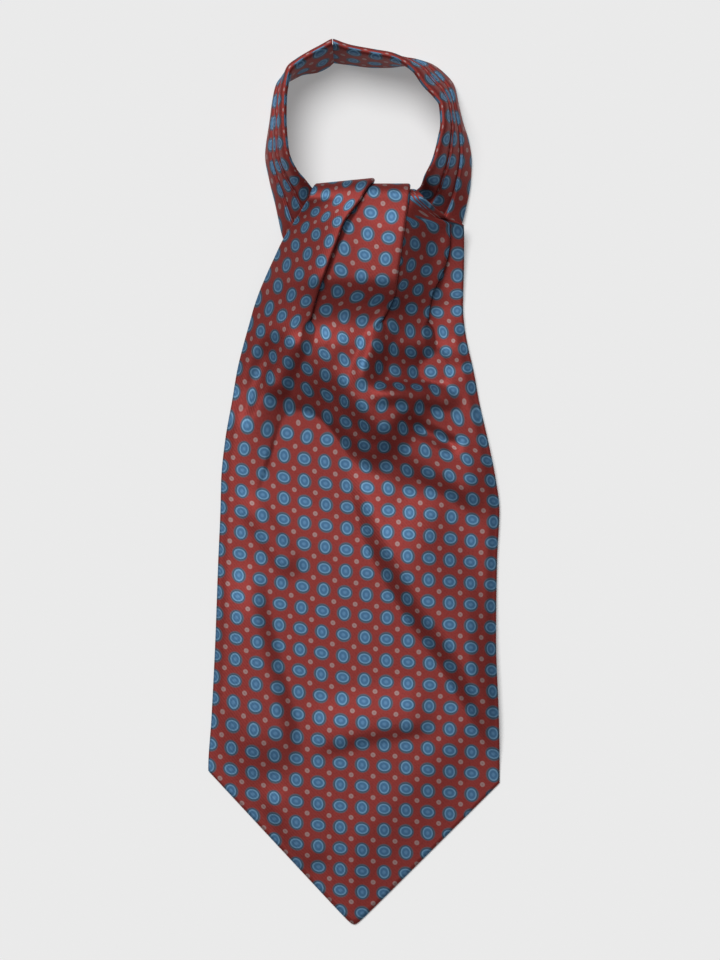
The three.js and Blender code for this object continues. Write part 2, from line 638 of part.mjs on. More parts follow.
// The shorter back blade, one flat layered piece under the front blade.
function underBlade() {
  const columns = 12;
  const upper = [];
  const lower = [];
  const straight = 10;
  const pointed = 7;
  for (let r = 0; r <= straight + pointed; r += 1) {
    const upperRow = [];
    const lowerRow = [];
    for (let c = 0; c <= columns; c += 1) {
      const share = c / columns;
      const half = (blade.right(BACK_WIDTH_Y) - blade.left(BACK_WIDTH_Y)) / 2 - BACK_INSET;
      const bottom = mix(BACK_POINT_Y, BACK_CORNER_Y, Math.abs(2 * share - 1));
      const y = r <= straight
        ? mix(BACK_TOP_Y, CHEVRON_Y, r / straight)
        : mix(CHEVRON_Y, bottom, (r - straight) / pointed);
      const middle = (blade.left(y) + blade.right(y)) / 2;
      const reach = Math.min(half, (blade.right(y) - blade.left(y)) / 2 - BACK_INSET);
      const x = mix(middle - reach, middle + reach, share);
      const rim = c === 0 || c === columns || r === 0 || r === straight + pointed;
      upperRow.push(new THREE.Vector3(x, y, rim ? BACK_THICK * BACK_RIM : BACK_THICK));
      lowerRow.push(new THREE.Vector3(x, y, 0));
    }
    upper.push(upperRow);
    lower.push(lowerRow);
  }
  return closeGrids('under_blade', upper, lower, COLOUR.backing);
}

const cravat = new THREE.Group();
cravat.name = 'silk_cravat';
cravat.add(wallFromGrid('front_blade', bladeGrid(), WALL, COLOUR.silk));
cravat.add(bandArm('neckband_left', BAND.left));
cravat.add(bandArm('neckband_right', BAND.right));
cravat.add(crossingWrap());
cravat.add(underBlade());

export default cravat;
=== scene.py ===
import math

import bpy
import numpy as np
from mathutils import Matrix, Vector


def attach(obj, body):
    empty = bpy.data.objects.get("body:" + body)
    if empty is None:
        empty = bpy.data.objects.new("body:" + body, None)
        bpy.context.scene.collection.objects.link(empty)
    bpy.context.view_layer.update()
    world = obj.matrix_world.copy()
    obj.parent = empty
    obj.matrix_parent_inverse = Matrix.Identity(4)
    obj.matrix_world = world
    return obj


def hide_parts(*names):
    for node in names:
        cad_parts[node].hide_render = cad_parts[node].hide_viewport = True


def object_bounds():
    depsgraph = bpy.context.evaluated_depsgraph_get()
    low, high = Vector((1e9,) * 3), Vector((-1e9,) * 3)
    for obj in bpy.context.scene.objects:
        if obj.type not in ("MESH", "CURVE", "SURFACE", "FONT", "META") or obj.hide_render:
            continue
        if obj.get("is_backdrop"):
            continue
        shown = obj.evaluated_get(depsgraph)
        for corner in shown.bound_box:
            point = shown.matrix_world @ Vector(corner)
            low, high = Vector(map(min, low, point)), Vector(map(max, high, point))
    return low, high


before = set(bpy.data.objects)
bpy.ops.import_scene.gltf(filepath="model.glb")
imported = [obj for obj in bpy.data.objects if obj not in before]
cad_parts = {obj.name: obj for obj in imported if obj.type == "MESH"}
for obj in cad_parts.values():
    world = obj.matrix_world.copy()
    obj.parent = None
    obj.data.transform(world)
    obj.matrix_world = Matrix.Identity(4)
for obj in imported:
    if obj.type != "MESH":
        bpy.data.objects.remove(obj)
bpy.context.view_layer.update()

# Printed silk twill: brick red with a neat foulard of ovals that stand and lie by
# turns on a square lattice, and a pale spot between each four. Woven smooth and screen
# printed, it has a broad shine that darkens quickly where the cloth turns away.
REPEAT = 0.0117
# Halves of each printed shape, as shares of the repeat: across and along.
HALO = (0.345, 0.362)
RING = (0.232, 0.284)
SPOT = (0.11, 0.11)
# Inks of an oval and of a spot, in the order they are laid: shape, edge, softness, colour.
OVAL_INKS = [
    (HALO, 0.98, 0.12, "#4A5763"),
    (RING, 1.2, 0.12, "#36495C"),
    (RING, 1.0, 0.12, "#668CA8"),
    (RING, 0.78, 0.14, "#3F6586"),
    (RING, 0.32, 0.18, "#547A9B"),
]
SPOT_INKS = [
    (SPOT, 1.0, 0.2, "#917573"),
    (SPOT, 0.35, 0.2, "#836866"),
]
# The second red is the dyed red painted darker, as shade on the layers under and behind the front blade.
DYED_RED, SHADED_RED, SPECKLE_RED = "#84332F", "#782E2B", "#7A2C29"
# Flecks of the dye are 1.1 mm across, and thick places of the yarn 6.25 mm apart.
SPECKLE_SIZE, SPECKLE_EDGE, SPECKLE_SOFT = 1 / 900, 0.42, 0.2
SLUB_SIZE, SLUB_SHARE = 0.00625, 0.8
# The twill's own ribs are 0.4 mm apart; at that size they would only flicker, so they
# are drawn 1.4 mm apart.
RIB_SPACING, RIB_WAVER = 0.0014332, 0.6
RELIEF_STRENGTH, RELIEF_HEIGHT = 0.12, 0.0002


def linear(code):
    """sRGB hex colour as linear red, green, blue and one."""
    parts = [int(code[i : i + 2], 16) / 255 for i in (1, 3, 5)]
    return [p / 12.92 if p <= 0.04045 else ((p + 0.055) / 1.055) ** 2.4 for p in parts] + [1.0]


def node(tree, kind, inputs=None, **settings):
    """Adds a node and sets or links its inputs; a node given as a value links by its first output."""
    made = tree.nodes.new(kind)
    for name, value in settings.items():
        setattr(made, name, value)
    for key, value in (inputs or {}).items():
        if isinstance(value, bpy.types.Node):
            value = value.outputs[0]
        if isinstance(value, bpy.types.NodeSocket):
            tree.links.new(value, made.inputs[key])
        else:
            made.inputs[key].default_value = value
    return made


def printed(tree, under, place, ink):
    """Lays one ink over a colour, inside its shape about the place's middle."""
    halves, edge, soft, code = ink
    scaled = node(tree, "ShaderNodeVectorMath", {0: place, 1: (*halves, 1)}, operation="DIVIDE")
    distance = node(tree, "ShaderNodeVectorMath", {0: scaled}, operation="LENGTH").outputs["Value"]
    step = {
        "Value": distance,
        "From Min": edge - soft,
        "From Max": edge + soft,
        "To Min": 1.0,
        "To Max": 0.0,
    }
    mask = node(tree, "ShaderNodeMapRange", step, interpolation_type="SMOOTHSTEP")
    return node(tree, "ShaderNodeMix", {0: mask, 6: under, 7: linear(code)}, data_type="RGBA").outputs[2]


def printed_silk(name, ground):
    """Silk twill in one ground colour, the dyed red or a darker red painted as shade, with the foulard
    printed on it.
    """
    material = bpy.data.materials.new(name)
    material.use_nodes = True
    tree = material.node_tree
    tree.nodes.clear()
    cloth = node(tree, "ShaderNodeUVMap", uv_map="cloth")
    repeats = node(tree, "ShaderNodeMapping", {"Vector": cloth, "Scale": (1 / REPEAT, 1 / REPEAT, 1)})

    split = node(tree, "ShaderNodeSeparateXYZ", {0: repeats})
    column = node(tree, "ShaderNodeMath", {0: split.outputs[0]}, operation="ROUND")
    row = node(tree, "ShaderNodeMath", {0: split.outputs[1]}, operation="ROUND")
    from_x = node(tree, "ShaderNodeMath", {0: split.outputs[0], 1: column}, operation="SUBTRACT")
    from_y = node(tree, "ShaderNodeMath", {0: split.outputs[1], 1: row}, operation="SUBTRACT")
    number = node(tree, "ShaderNodeMath", {0: column, 1: row}, operation="ADD")
    lying = node(tree, "ShaderNodeMath", {0: number, 1: 1.0}, operation="PINGPONG")
    upright = node(tree, "ShaderNodeCombineXYZ", {0: from_x, 1: from_y})
    turned = node(tree, "ShaderNodeCombineXYZ", {0: from_y, 1: from_x})
    oval = node(tree, "ShaderNodeMix", {0: lying, 4: upright, 5: turned}, data_type="VECTOR").outputs[1]
    in_cell = node(tree, "ShaderNodeVectorMath", {0: repeats}, operation="FRACTION")
    spot = node(tree, "ShaderNodeVectorMath", {0: in_cell, 1: (0.5, 0.5, 0)}, operation="SUBTRACT")

    speckle = node(tree, "ShaderNodeTexNoise", {"Vector": cloth, "Scale": 1 / SPECKLE_SIZE, "Detail": 2.0})
    step = {
        "Value": speckle,
        "From Min": SPECKLE_EDGE - SPECKLE_SOFT,
        "From Max": SPECKLE_EDGE + SPECKLE_SOFT,
        "To Min": 1.0,
        "To Max": 0.0,
    }
    mask = node(tree, "ShaderNodeMapRange", step, interpolation_type="SMOOTHSTEP")
    dyed = {0: mask, 6: linear(ground), 7: linear(SPECKLE_RED)}
    colour = node(tree, "ShaderNodeMix", dyed, data_type="RGBA").outputs[2]
    for ink in OVAL_INKS:
        colour = printed(tree, colour, oval, ink)
    for ink in SPOT_INKS:
        colour = printed(tree, colour, spot, ink)

    rib_scale = 2 * math.pi / (10 * math.sqrt(2) * RIB_SPACING)
    ribs = node(
        tree,
        "ShaderNodeTexWave",
        {"Vector": cloth, "Scale": rib_scale, "Distortion": RIB_WAVER, "Detail": 1.0},
        wave_type="BANDS",
        bands_direction="DIAGONAL",
    )
    yarn = {"Vector": cloth, "Scale": 1 / SLUB_SIZE, "Detail": 4.0, "Roughness": 0.6}
    slub = node(tree, "ShaderNodeTexNoise", yarn)
    relief = node(
        tree, "ShaderNodeMath", {0: slub, 1: SLUB_SHARE, 2: ribs.outputs["Fac"]}, operation="MULTIPLY_ADD"
    )
    surface = {"Height": relief, "Strength": RELIEF_STRENGTH, "Distance": RELIEF_HEIGHT}
    bump = node(tree, "ShaderNodeBump", surface)
    finish = {"Base Color": colour, "Normal": bump, "Metallic": 0.78, "Roughness": 0.62}
    silk = node(tree, "ShaderNodeBsdfPrincipled", finish)
    node(tree, "ShaderNodeOutputMaterial", {"Surface": silk})
    return material


silk = printed_silk("printed silk twill", DYED_RED)
# A copy of the same silk with its red painted darker, as shade for the inner layers.
silk_painted_shade = printed_silk("printed silk twill, painted darker as shade", SHADED_RED)


# Front blade: two faces of the silk on an interlining, one cloth 155 mm wide. It rolls
# over the crossing at the throat, is held there in three pleats that fall to the right,
# and opens out below into soft folds down to its point. Lengths are in millimetres.
MM = 0.001
CENTRE = (0.1, 2.4, 0)
TABLE_Z = 0.02
WALL = 1.0
CLOTH_WIDTH = 155
TURN = 0.75
LAYER = 2 * TURN
ROLL_Y, ROLL_RADIUS, ROLL_AXIS_Z = 152.7, 8.6, 16.0
REST_Z, FLOOR_Z = 2.85, 1.0
BLADE_COLUMNS = "y left right pleat_a pleat_b pleat_c left_z crown_z right_z".split()
BLADE_SECTIONS = [
    (152.7, -24.4, 37.9, 3.7, 29.2, 34.0, 24.6, 24.6, 24.6),
    (147.3, -28.0, 44.5, -0.4, 28.4, 40.5, 20.5, 24.8, 20.6),
    (143.2, -30.8, 50.6, -3.6, 27.7, 46.4, 17.2, 24.9, 17.9),
    (139.4, -33.6, 59.3, -6.0, 27.2, 51.6, 14.0, 25.0, 15.2),
    (131.2, -39.1, 59.6, -9.0, 26.0, 51.8, 8.8, 25.0, 12.4),
    (121.1, -44.1, 59.6, -12.9, 24.5, 50.3, 5.6, 24.8, 10.4),
    (110.2, -49.1, 59.4, -17.0, 22.9, 46.0, 4.4, 24.2, 9.2),
    (103.0, -52.1, 59.2, -19.7, 21.9, 42.6, 3.9, 21.6, 8.8),
    (95.0, -54.9, 59.1, -22.0, 20.5, 41.0, 3.5, 18.4, 8.2),
    (88.3, -56.8, 59.5, -23.5, 19.0, 40.0, 3.1, 16.2, 8.4),
    (74.6, -60.7, 61.6, -25.0, 17.0, 39.0, 2.85, 12.6, 8.6),
    (60.9, -64.0, 64.8, -25.0, 17.0, 39.0, 2.85, 9.2, 4.6),
    (44.4, -66.7, 67.8, -25.0, 17.0, 39.0, 2.85, 7.8, 3.4),
    (22.5, -70.6, 72.7, -25.0, 17.0, 39.0, 2.85, 5.4, 3.6),
    (0.5, -72.8, 77.1, -25.0, 17.0, 39.0, 2.85, 4.4, 3.7),
    (-16.0, -73.2, 79.1, -25.0, 17.0, 39.0, 2.85, 4.2, 3.7),
    (-43.4, -74.4, 77.8, -25.0, 17.0, 39.0, 2.85, 4.2, 3.7),
    (-87.3, -76.0, 77.2, -25.0, 17.0, 39.0, 2.85, 4.2, 3.7),
    (-131.2, -78.2, 78.7, -25.0, 17.0, 39.0, 2.85, 4.2, 3.7),
    (-158.0, -79.9, 79.2, -25.0, 17.0, 39.0, 2.85, 4.2, 3.7),
    (-245.0, -79.9, 79.3, -25.0, 17.0, 39.0, 2.85, 4.2, 3.7),
]
ROLL_COLUMNS = "angle left right pleat_a pleat_b pleat_c".split()
ROLL_SECTIONS = [
    (0, -24.4, 37.9, 3.7, 29.2, 34.0),
    (90, -20.2, 32.4, 10.6, 30.0, 29.2),
    (180, -17.0, 32.0, 6.0, 24.6, 28.0),
]
# Folds: height, spread to the left and to the right of the run, and the run's points.
FOLDS = [
    (4.2, 42, 13, [(-16, 68), (-4, 56), (3, 46), (9, 37), (28, 18.5), (59, -1), (82, -17)]),
    (7.2, 42, 27, [(-38, 74), (-20, 65), (-4, 55), (7, 42), (19, 27), (30, 18)]),
    (-3.5, 14, 50, [(-60, 38), (-40, 36), (-24, 27), (-6, 13), (20, -4), (48, -18)]),
    (3.0, 10, 8, [(21, 106), (15, 84), (6, 62), (1, 48)]),
    (3.0, 9, 9, [(-26, 84), (-35, 70), (-41, 55), (-45, 44)]),
    (-3.5, 9, 9, [(-40, 84), (-50, 66), (-60, 45), (-66, 30)]),
    (-5.5, 20, 10, [(4, 60), (18, 57), (34, 57), (54, 61)]),
    (3.0, 8, 7, [(4, 47), (28, 47.5), (60, 43)]),
    (-3.0, 6, 7, [(22, 36), (39, 27), (60, 17)]),
    (6.6, 40, 15, [(-14, 32), (-2, 12), (12, -15), (19.5, -33), (39, -68),
                   (57, -93), (72, -118), (85, -142), (108, -186)]),
    (2.9, 12, 36, [(-61, -40), (-57, -72), (-51, -98), (-44, -125), (-36, -162)]),
    (1.9, 26, 9, [(-28, -146), (8, -136), (33, -132), (46, -130)]),
    (1.6, 18, 9, [(-52, -166), (-44, -178), (-30, -202), (-22, -216)]),
    (1.5, 10, 10, [(-62, -4), (-55, -16), (-38, -43), (-32, -54)]),
]
# Folds of the pleated part: a raised edge along each crease.
UPPER_FOLDS = [
    (1.4, 2, 14, [(6, 156), (-3, 143), (-11, 127), (-18, 108), (-21, 98)]),
    (2.4, 3, 26, [(29, 152), (27, 130), (23, 108), (20, 92)]),
    (0.8, 2, 8, [(52, 138), (50, 124), (46, 110), (43, 100)]),
]
# Shares of a fold's run over which it rises from nothing and fades out again.
FOLD_RISES, FOLD_FADES = 0.3, 0.22
HOLLOW_X, HOLLOW_Y, HOLLOW_RADIUS, HOLLOW_DEPTH = -23, 43, 23, 3
HOLLOW_ABOVE, HOLLOW_BELOW, HOLLOW_LEFT = 0.85, 0.4, 0.7
PLEATS_PART_Y, PLEATS_FLAT_Y = 103, 77
LAYERS_SETTLE_Y, LAYERS_SETTLE_RUN = 83, 30
POINT_X, POINT_Y, POINT_ROUND, POINT_CUT = -0.3, -244.2, 1.5, 0.6
POINT_LEFT_SLOPE, POINT_RIGHT_SLOPE = 1.077, 0.994
BACK_INSET, BACK_WIDTH_Y, BACK_CORNER_Y, BACK_POINT_Y = 6.5, -120, -130, -205


def ease(low, high, value):
    t = np.clip((value - low) / (high - low), 0, 1)
    return t * t * (3 - 2 * t)


def mix(a, b, t):
    return a + (b - a) * t


def curve(points):
    """Smooth curve through (place, value) pairs that never swings past them."""
    xs, ys = np.array(sorted(points), float).T
    rate = np.diff(ys) / np.diff(xs)
    before, after = rate[:-1], rate[1:]
    total = np.where(before + after == 0, 1, before + after)
    inner = np.where(before * after > 0, 2 * before * after / total, 0)
    slope = np.concatenate([rate[:1], inner, rate[-1:]])

    def at(place):
        place = np.clip(place, xs[0], xs[-1])
        i = np.clip(np.searchsorted(xs, place, side="right") - 1, 0, len(xs) - 2)
        span = xs[i + 1] - xs[i]
        t = (place - xs[i]) / span
        back = 1 - t
        start = ys[i] * (1 + 2 * t) + slope[i] * span * t
        end = ys[i + 1] * (3 - 2 * t) - slope[i + 1] * span * back
        return start * back * back + end * t * t

    return at


def curves(columns, rows):
    return {name: curve([(row[0], row[i + 1]) for row in rows]) for i, name in enumerate(columns[1:])}


blade = curves(BLADE_COLUMNS, BLADE_SECTIONS)
roll = curves(ROLL_COLUMNS, ROLL_SECTIONS)
back_half = float(blade["right"](BACK_WIDTH_Y) - blade["left"](BACK_WIDTH_Y)) / 2 - BACK_INSET


def pointed_edge(x):
    """Lower edge of the front blade, with its point a little rounded."""
    away = x - POINT_X
    slope = np.where(away < 0, POINT_LEFT_SLOPE, POINT_RIGHT_SLOPE)
    return POINT_Y + slope * (np.hypot(away, POINT_ROUND) - POINT_CUT)


def back_edge(x):
    """Lower edge of the back blade, past which the front blade settles on the table."""
    return mix(BACK_POINT_Y, BACK_CORNER_Y, np.clip(np.abs(x - POINT_X) / back_half, 0, 1))


def swell(away):
    """Round swelling, 1 at its middle and level again at 1 away from it."""
    return (1 - away * away) ** 2


def fold_height(x, y, folds):
    """Height of the folds at each place, from how far it lies beside their runs."""
    total = np.zeros_like(x)
    for rise, left, right, run in folds:
        points = np.array(run, float)
        steps = np.diff(points, axis=0)
        lengths = np.hypot(steps[:, 0], steps[:, 1])
        starts = np.concatenate([[0], np.cumsum(lengths)])
        nearest = np.full(x.shape, np.inf)
        side = np.zeros_like(x)
        along = np.zeros_like(x)
        for i, length in enumerate(lengths):
            dx, dy = steps[i] / length
            reach = np.clip((x - points[i, 0]) * dx + (y - points[i, 1]) * dy, 0, length)
            away = np.hypot(x - points[i, 0] - reach * dx, y - points[i, 1] - reach * dy)
            closer = away < nearest
            nearest = np.where(closer, away, nearest)
            side = np.where(closer, dx * (y - points[i, 1]) - dy * (x - points[i, 0]), side)
            along = np.where(closer, (starts[i] + reach) / starts[-1], along)
        across = swell(np.clip(nearest / np.where(side > 0, left, right), 0, 1))
        total += rise * across * ease(0, FOLD_RISES, along) * ease(0, FOLD_FADES, 1 - along)
    return total


def hollow_depth(x, y):
    """Depth of the hollow at the foot of the ramp, which runs out slowly below."""
    down = (y - HOLLOW_Y) * np.where(y > HOLLOW_Y, HOLLOW_ABOVE, HOLLOW_BELOW)
    across = (x - HOLLOW_X) * np.where(x > HOLLOW_X, 1.0, HOLLOW_LEFT)
    return HOLLOW_DEPTH * swell(np.clip(np.hypot(across, down) / HOLLOW_RADIUS, 0, 1))


def openness(y):
    """How far the pleats are let go: 0 while folded, 1 where the cloth lies flat."""
    return 1 - np.clip((y - PLEATS_FLAT_Y) / (PLEATS_PART_Y - PLEATS_FLAT_Y), 0, 1)


def settling(y):
    """How far the layers of the pleats have come to one height below them."""
    return ease(0, LAYERS_SETTLE_RUN, LAYERS_SETTLE_Y - y)


PAST_PLEAT, LEFT_SHOULDER, RIGHT_SHOULDER = 2, 26, 46
PLEATED_FLAT_SHARE, OPEN_FLAT_SHARE = 0.22, 0.25
UPPER_FADE, LOWER_FADE = (84, 92), (-100, -74)
SQUARE_TO_POINT = 0.7
EDGE_CALM, EDGE_FOLD_SHARE = 16, 0.45
EDGE_DROP, EDGE_DROP_WIDTH = 1.4, 6
BACK_SETTLE, POINT_SETTLE = (-12, 26), (-4, 20)


def blade_height(x, y, layer=0.0):
    """Height of the front blade, and of a layer that lies above or below it."""
    left, right = blade["left"](y), blade["right"](y)
    left_z, right_z, crown = blade["left_z"](y), blade["right_z"](y), blade["crown_z"](y)
    opened = ease(0, 1, openness(y))
    crown_left = mix(blade["pleat_a"](y) + PAST_PLEAT, left + LEFT_SHOULDER, opened)
    crown_right = mix(blade["pleat_b"](y) + PAST_PLEAT, right - RIGHT_SHOULDER, opened)
    from_left = np.sin(np.pi / 2 * np.clip((x - left) / (crown_left - left), 0, 1))
    off_right = np.clip((right - x) / (right - crown_right), 0, 1)
    up_pleats = np.clip((off_right - PLEATED_FLAT_SHARE) / (1 - PLEATED_FLAT_SHARE), 0, 1)
    from_right = mix(1 - np.cos(np.pi / 2 * up_pleats), ease(OPEN_FLAT_SHARE, 1, off_right), opened)
    on_left = left_z + (crown - left_z) * from_left
    on_right = right_z + (crown - right_z) * from_right
    base = np.where(x < (crown_left + crown_right) / 2, on_left, on_right)

    lower = ease(*LOWER_FADE, -y)
    from_edge = np.minimum(x - left, right - x)
    from_point = (y - pointed_edge(x)) * SQUARE_TO_POINT
    inner = ease(0, EDGE_CALM, np.minimum(from_edge, from_point))
    past_back = ease(*BACK_SETTLE, back_edge(x) - y)
    rest = mix(REST_Z, FLOOR_Z, past_back)
    drop = lower * EDGE_DROP * (1 - ease(0, EDGE_DROP_WIDTH, from_edge)) * (1 - past_back)
    puff = (base - REST_Z) * mix(1, ease(*POINT_SETTLE, from_point), lower)
    folds = lower * (fold_height(x, y, FOLDS) - hollow_depth(x, y)) * mix(EDGE_FOLD_SHARE, 1, inner)
    laid = np.maximum(rest + puff + folds + layer, rest) - drop
    return mix(base + layer, laid, lower) + fold_height(x, y, UPPER_FOLDS) * ease(*UPPER_FADE, y)


ARC = np.linspace(-np.pi / 2, np.pi / 2, 7)
# Cloth places, from the left edge, where each pleat starts and ends, and its depth.
PLEAT_CLOTH = [(39.2, 48.8), (88.7, 98.3), (126.0, 133.5)]
PLEAT_DEPTHS = (8, 8, 6)
PLEAT_FLAT = 4
PLEAT_SIZE = 2 * len(ARC) + PLEAT_FLAT
LAST_DEPTH, SHALLOW_AT, STRAIGHT_AT = 2.1, 0.5, 0.78
PANEL_STEPS = (36, 38, 24, 20)
SIDE_FLAT = (-3, 2)


def pleat_points(edge, open_at, depth, opened, settled):
    """Places across and layer heights through one pleat, folded or let go."""
    run = mix(depth, LAST_DEPTH, min(1, opened / SHALLOW_AT))
    straighten = ease(SHALLOW_AT, STRAIGHT_AT, opened)
    between = np.linspace(0, 1, PLEAT_FLAT + 2)[1:-1]
    shape_x = np.concatenate([
        run - TURN + TURN * np.cos(ARC),
        mix(run - TURN, TURN, between),
        TURN - TURN * np.cos(ARC),
    ])
    shape_z = np.concatenate([
        TURN + TURN * np.sin(ARC),
        np.full(PLEAT_FLAT, LAYER),
        LAYER + TURN + TURN * np.sin(ARC),
    ])
    ramp_z = 2 * LAYER * (1 - np.linspace(0, 1, PLEAT_SIZE))
    middle_open = (open_at[0] + open_at[-1]) / 2
    middle = mix(edge, middle_open, ease(0, 1, opened))
    across = middle + mix(-shape_x[::-1], open_at - middle_open, straighten)
    return across, mix(shape_z[::-1], ramp_z, straighten) * (1 - settled)


def panels_and_pleats(pleats, ends, last_flat):
    """One row of values across the blade: panels between the pleats' own values."""
    first, second, third = pleats
    last_end = third[-1] if last_flat else ends[1]
    return np.concatenate([
        np.linspace(ends[0], first[0], PANEL_STEPS[0] + 1)[:-1],
        first,
        np.linspace(first[-1], second[0], PANEL_STEPS[1] + 2)[1:-1],
        second,
        np.linspace(second[-1], third[0], PANEL_STEPS[2] + 2)[1:-1],
        third,
        np.linspace(third[-1], last_end, PANEL_STEPS[3] + 1)[1:],
    ])


pleat_cloth = [np.linspace(a, b, PLEAT_SIZE) for a, b in PLEAT_CLOTH]
cloth_across = panels_and_pleats(pleat_cloth, (0, CLOTH_WIDTH), False)


def row_across(section, opened, side_opened, side_flat, settled, side_settled):
    """Places across and layer heights of one row of the blade."""
    left, right = section["left"], section["right"]
    open_at = [mix(left, right, c / CLOTH_WIDTH) for c in pleat_cloth]
    side_at = side_flat if side_flat is not None else open_at[2]
    ax, az = pleat_points(section["pleat_a"], open_at[0], PLEAT_DEPTHS[0], opened, settled)
    bx, bz = pleat_points(section["pleat_b"], open_at[1], PLEAT_DEPTHS[1], opened, settled)
    cx, cz = pleat_points(section["pleat_c"], side_at, PLEAT_DEPTHS[2], side_opened, side_settled)
    step = 2 * LAYER * (1 - settled)
    bz = bz - step
    cz = cz - step - 2 * LAYER * (1 - side_settled)
    across = panels_and_pleats((ax, bx, cx), (left, right), False)
    return across, panels_and_pleats((az, bz, cz), (0, 0), True)


def section_at(table, place):
    return {name: float(table[name](place)) for name in ROLL_COLUMNS[1:]}


def flat_side(section):
    """Places across the side pleat where it isn't folded yet."""
    return section["pleat_c"] + np.linspace(*SIDE_FLAT, PLEAT_SIZE)


ROLL_ROWS, ROLL_FROM, ROLL_TO = 20, 180, 9
SIDE_PLEAT_STARTS = (139.5, 144.5)
# Stretches of the blade, from the roll down, and their rows.
ROW_SPANS = ((152.7, 145.5, 6), (145.5, 138, 10), (138, 103, 24), (103, 84, 16), (84, -60, 96))
SLANT_FROM_Y, FULL_WIDTH_Y, SLANT_ROWS = -60, -200, 64
rows = []
carriers = []
for degrees in np.linspace(ROLL_FROM, ROLL_TO, ROLL_ROWS):
    section = section_at(roll, degrees)
    x, layer = row_across(section, 0.0, 1.0, flat_side(section), 0.0, 1.0)
    radius = ROLL_RADIUS + layer
    angle = math.radians(degrees)
    around = (x, ROLL_Y + radius * math.sin(angle), ROLL_AXIS_Z + radius * math.cos(angle))
    rows.append(np.stack(around, axis=1))
    carriers.append(np.full_like(x, ROLL_AXIS_Z + ROLL_RADIUS * math.cos(angle)))
for start, end, count in ROW_SPANS:
    for y in np.linspace(start, end, count, endpoint=False):
        section = section_at(blade, y)
        opened = float(openness(y))
        starting = float(ease(*SIDE_PLEAT_STARTS, y))
        flat = flat_side(section) if starting > 0 else None
        settled = float(settling(y))
        side_settled = max(settled, float(ease(STRAIGHT_AT, 1, starting)))
        x, layer = row_across(section, opened, max(opened, starting), flat, settled, side_settled)
        ys = np.full_like(x, y)
        rows.append(np.stack([x, ys, blade_height(x, ys, layer)], axis=1))
        carriers.append(blade_height(x, ys))
section = section_at(blade, SLANT_FROM_Y)
last_across = row_across(section, 1.0, 1.0, None, 1.0, 1.0)[0]
share = (last_across - section["left"]) / (section["right"] - section["left"])
for step in np.linspace(0, 1, SLANT_ROWS):
    bottom = pointed_edge(mix(blade["left"](FULL_WIDTH_Y), blade["right"](FULL_WIDTH_Y), share))
    ys = mix(SLANT_FROM_Y, bottom, step)
    x = mix(blade["left"](ys), blade["right"](ys), share)
    rows.append(np.stack([x, ys, blade_height(x, ys)], axis=1))
    carriers.append(blade_height(x, ys))
blade_grid = np.array(rows)


def unit(vectors):
    return vectors / np.maximum(np.linalg.norm(vectors, axis=-1, keepdims=True), 1e-9)


def grid_normals(grid):
    """Normals of a grid of points, upward where its rows run away from the ring."""

    def tangents(axis):
        steps = unit(np.diff(grid, axis=axis))
        first = np.take(steps, [0], axis=axis)
        last = np.take(steps, [-1], axis=axis)
        return unit(np.concatenate([first, steps], axis=axis) + np.concatenate([steps, last], axis=axis))

    return unit(np.cross(tangents(0), tangents(1)))


def cloth_mesh(name, points, faces, cloth, material):
    """Smooth closed mesh with its places on the flat cloth; a doubled corner marks a triangle."""
    mesh = bpy.data.meshes.new(name)
    corners = [face[:3] if face[2] == face[3] else face for face in faces.tolist()]
    mesh.from_pydata(((points + CENTRE) * MM).tolist(), [], corners)
    mesh.validate()
    layer = mesh.uv_layers.new(name="cloth")
    at = np.empty(len(mesh.loops), int)
    mesh.loops.foreach_get("vertex_index", at)
    layer.data.foreach_set("uv", (cloth * MM)[at].ravel())
    mesh.polygons.foreach_set("use_smooth", np.ones(len(mesh.polygons), bool))
    mesh.materials.append(material)
    a, b, c, d = (points[faces[:, i]] for i in range(4))
    if np.sum(a * np.cross(b, c)) + np.sum(a * np.cross(c, d)) < 0:
        mesh.flip_normals()
    made = bpy.data.objects.new(name, mesh)
    bpy.context.scene.collection.objects.link(made)
    return made


def close_grids(name, upper, lower, cloth, material):
    """Closed body between an upper and a lower face, with a rounded edge all round."""
    count_r, count_c = upper.shape[:2]
    border = (
        [(0, c) for c in range(count_c)]
        + [(r, count_c - 1) for r in range(1, count_r)]
        + [(count_r - 1, c) for c in range(count_c - 2, -1, -1)]
        + [(r, 0) for r in range(count_r - 2, 0, -1)]
    )
    at_r, at_c = np.array(border).T
    over, under = upper[at_r, at_c], lower[at_r, at_c]
    edge = (over + under) / 2
    ahead = unit(np.roll(edge, -1, axis=0) - np.roll(edge, 1, axis=0))
    outward = unit(np.cross(ahead, unit(over - under)))
    middle = upper.reshape(-1, 3).mean(axis=0)
    if np.sum(outward * (edge - middle)) < 0:
        outward = -outward
    bulge = np.minimum(np.linalg.norm(over - under, axis=1, keepdims=True) / 2, WALL)
    points = np.concatenate([upper.reshape(-1, 3), lower.reshape(-1, 3), edge + outward * bulge])
    points[:, 2] = np.maximum(points[:, 2], TABLE_Z)

    size = count_r * count_c
    index = np.arange(size).reshape(count_r, count_c)
    a, b = index[:-1, :-1].ravel(), index[:-1, 1:].ravel()
    c, d = index[1:, 1:].ravel(), index[1:, :-1].ravel()
    ring, rim = index[at_r, at_c], 2 * size + np.arange(len(border))
    ring_next, rim_next = np.roll(ring, -1), np.roll(rim, -1)
    faces = np.concatenate([
        np.stack([a, d, c, b], axis=1),
        np.stack([a, b, c, d], axis=1) + size,
        np.stack([ring, ring_next, rim_next, rim], axis=1),
        np.stack([rim, rim_next, ring_next + size, ring + size], axis=1),
    ])
    flat = cloth.reshape(-1, 2)
    return cloth_mesh(name, points, faces, np.concatenate([flat, flat, cloth[at_r, at_c]]), material)


